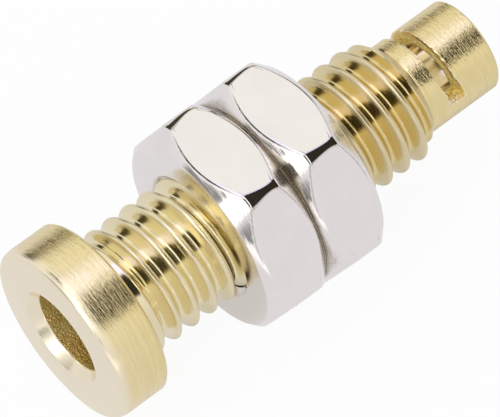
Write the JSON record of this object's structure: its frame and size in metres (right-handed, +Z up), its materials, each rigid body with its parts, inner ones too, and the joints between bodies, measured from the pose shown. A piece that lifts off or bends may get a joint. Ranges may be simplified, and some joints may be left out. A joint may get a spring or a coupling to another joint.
{
  "type": "banana socket",
  "caption": "Bare metal panel socket for a 4 mm banana plug: turned brass body with a round flange, threaded shank and slotted solder tail, locked by plated hex nuts.",
  "frame": {"origin": "on the socket's axis, in the plane where the flange seats on a panel", "axes": "+Y along the axis from the mouth to the solder tail, +Z up as the socket lies on the flats of its nuts"},
  "size_m": [0.011, 0.0231, 0.0098],
  "materials": {
    "brass": "satin",
    "nickel_plate": "gloss"
  },
  "bodies": {
    "socket": {"socket_body": "brass"},
    "front_nut": {"front_nut": "nickel_plate"},
    "rear_nut": {"rear_nut": "nickel_plate"}
  },
  "joints": [
    {"name": "front_nut_travel", "type": "slide", "parent": "socket", "child": "front_nut", "axis": [0, 1, 0], "range_m": [-0.004, 0]},
    {"name": "rear_nut_travel", "type": "slide", "parent": "socket", "child": "rear_nut", "axis": [0, 1, 0], "range_m": [0, 0.013]}
  ]
}
